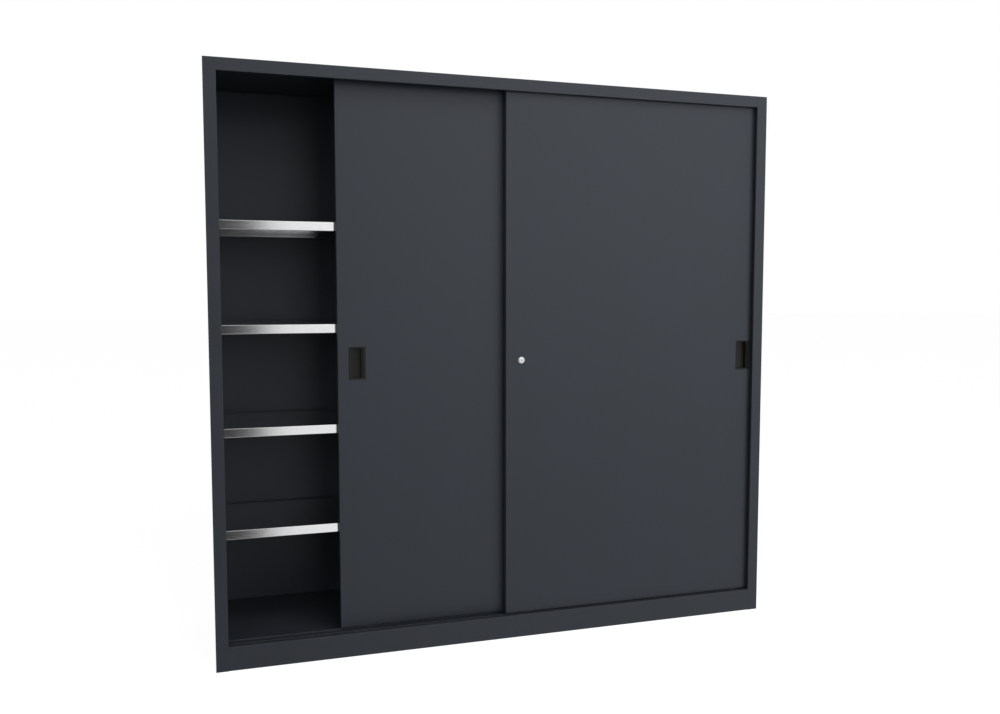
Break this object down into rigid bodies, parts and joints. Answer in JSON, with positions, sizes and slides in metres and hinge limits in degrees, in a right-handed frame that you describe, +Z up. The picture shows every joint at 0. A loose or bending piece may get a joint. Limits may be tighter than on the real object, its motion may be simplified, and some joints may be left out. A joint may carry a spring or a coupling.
{
  "type": "sliding door cabinet",
  "caption": "Tall steel storage cabinet in anthracite, with sliding doors that pass each other, galvanised shelves in divided bays, recessed handles and a push lock.",
  "frame": {"origin": "middle of the base on the floor", "axes": "+X to the right along the front, +Y from the doors to the back, +Z up"},
  "size_m": [2, 0.5, 1.95],
  "materials": {
    "anthracite_paint": "smooth satin powder coat",
    "galvanised_steel": "bright galvanised",
    "black_plastic": "fine moulded texture",
    "lock_chrome": "polished nickel chrome",
    "roller_nylon": "turned nylon",
    "guide_nylon": "moulded nylon",
    "buffer_rubber": "soft rubber",
    "zinc_plated_steel": "bright zinc plate"
  },
  "bodies": {
    "carcass": {"back_panel_left": "anthracite_paint", "back_panel_right": "anthracite_paint", "back_rivets": "anthracite_paint", "bottom_track": "anthracite_paint", "centre_partition": "anthracite_paint", "door_buffers": "buffer_rubber", "floor_bearer_1": "anthracite_paint", "floor_bearer_2": "anthracite_paint", "floor_bearer_3": "anthracite_paint", "floor_panel": "anthracite_paint", "left_side_panel": "anthracite_paint", "plinth_front": "anthracite_paint", "plinth_rear": "anthracite_paint", "right_side_panel": "anthracite_paint", "roof_panel": "anthracite_paint", "shelf_clips_left": "galvanised_steel", "shelf_clips_right": "galvanised_steel", "shelf_left_1": "galvanised_steel", "shelf_left_2": "galvanised_steel", "shelf_left_3": "galvanised_steel", "shelf_left_4": "galvanised_steel", "shelf_right_1": "galvanised_steel", "shelf_right_2": "galvanised_steel", "shelf_right_3": "galvanised_steel", "shelf_right_4": "galvanised_steel", "top_track": "anthracite_paint", "upright_left_wall_front": "anthracite_paint", "upright_left_wall_rear": "anthracite_paint", "upright_partition_left_front": "anthracite_paint", "upright_partition_left_rear": "anthracite_paint", "upright_partition_right_front": "anthracite_paint", "upright_partition_right_rear": "anthracite_paint", "upright_right_wall_front": "anthracite_paint", "upright_right_wall_rear": "anthracite_paint"},
    "left_door": {"left_door_handle": "black_plastic", "left_door_keeper": "guide_nylon", "left_door_panel": "anthracite_paint", "left_door_roller_axles": "zinc_plated_steel", "left_door_roller_brackets": "zinc_plated_steel", "left_door_screws": "zinc_plated_steel", "left_door_stiffeners": "anthracite_paint", "left_door_top_guides": "guide_nylon"},
    "right_door": {"lock_housing": "lock_chrome", "lock_nut": "lock_chrome", "lock_spring": "zinc_plated_steel", "right_door_handle": "black_plastic", "right_door_panel": "anthracite_paint", "right_door_roller_axles": "zinc_plated_steel", "right_door_roller_brackets": "zinc_plated_steel", "right_door_screws": "zinc_plated_steel", "right_door_stiffeners": "anthracite_paint", "right_door_top_guides": "guide_nylon"},
    "left_door_roller_left": {"left_door_roller_left": "roller_nylon"},
    "left_door_roller_right": {"left_door_roller_right": "roller_nylon"},
    "right_door_roller_left": {"right_door_roller_left": "roller_nylon"},
    "right_door_roller_right": {"right_door_roller_right": "roller_nylon"},
    "lock_plunger": {"lock_plunger": "lock_chrome"},
    "lock_plug": {"lock_plug": "lock_chrome"}
  },
  "joints": [
    {"name": "left_door_slide", "type": "slide", "parent": "carcass", "child": "left_door", "axis": [1, 0, 0], "range_m": [-0.402, 0.526]},
    {"name": "right_door_slide", "type": "slide", "parent": "carcass", "child": "right_door", "axis": [1, 0, 0], "range_m": [-0.98, 0]},
    {"name": "left_door_roller_left_spin", "type": "hinge", "parent": "left_door", "child": "left_door_roller_left", "pos_m": [-0.502, -0.1835, 0.0913], "axis": [0, 1, 0], "continuous": true},
    {"name": "left_door_roller_right_spin", "type": "hinge", "parent": "left_door", "child": "left_door_roller_right", "pos_m": [0.378, -0.1835, 0.0913], "axis": [0, 1, 0], "continuous": true},
    {"name": "right_door_roller_left_spin", "type": "hinge", "parent": "right_door", "child": "right_door_roller_left", "pos_m": [0.076, -0.2175, 0.0913], "axis": [0, 1, 0], "continuous": true},
    {"name": "right_door_roller_right_spin", "type": "hinge", "parent": "right_door", "child": "right_door_roller_right", "pos_m": [0.904, -0.2175, 0.0913], "axis": [0, 1, 0], "continuous": true},
    {"name": "lock_push", "type": "slide", "parent": "right_door", "child": "lock_plunger", "axis": [0, 1, 0], "range_m": [0, 0.006], "stiffness_N_per_m": 600, "springref_m": -0.006, "deforming": ["lock_spring"]},
    {"name": "key_turn", "type": "hinge", "parent": "lock_plunger", "child": "lock_plug", "pos_m": [0.043, -0.23, 0.9875], "axis": [0, 1, 0], "range_deg": [0, 90]}
  ],
  "couplings": [
    {"joint": "left_door_roller_left_spin", "follows": "left_door_slide", "rad_per_m": 71.429},
    {"joint": "left_door_roller_right_spin", "follows": "left_door_slide", "rad_per_m": 71.429},
    {"joint": "right_door_roller_left_spin", "follows": "right_door_slide", "rad_per_m": 71.429},
    {"joint": "right_door_roller_right_spin", "follows": "right_door_slide", "rad_per_m": 71.429}
  ]
}
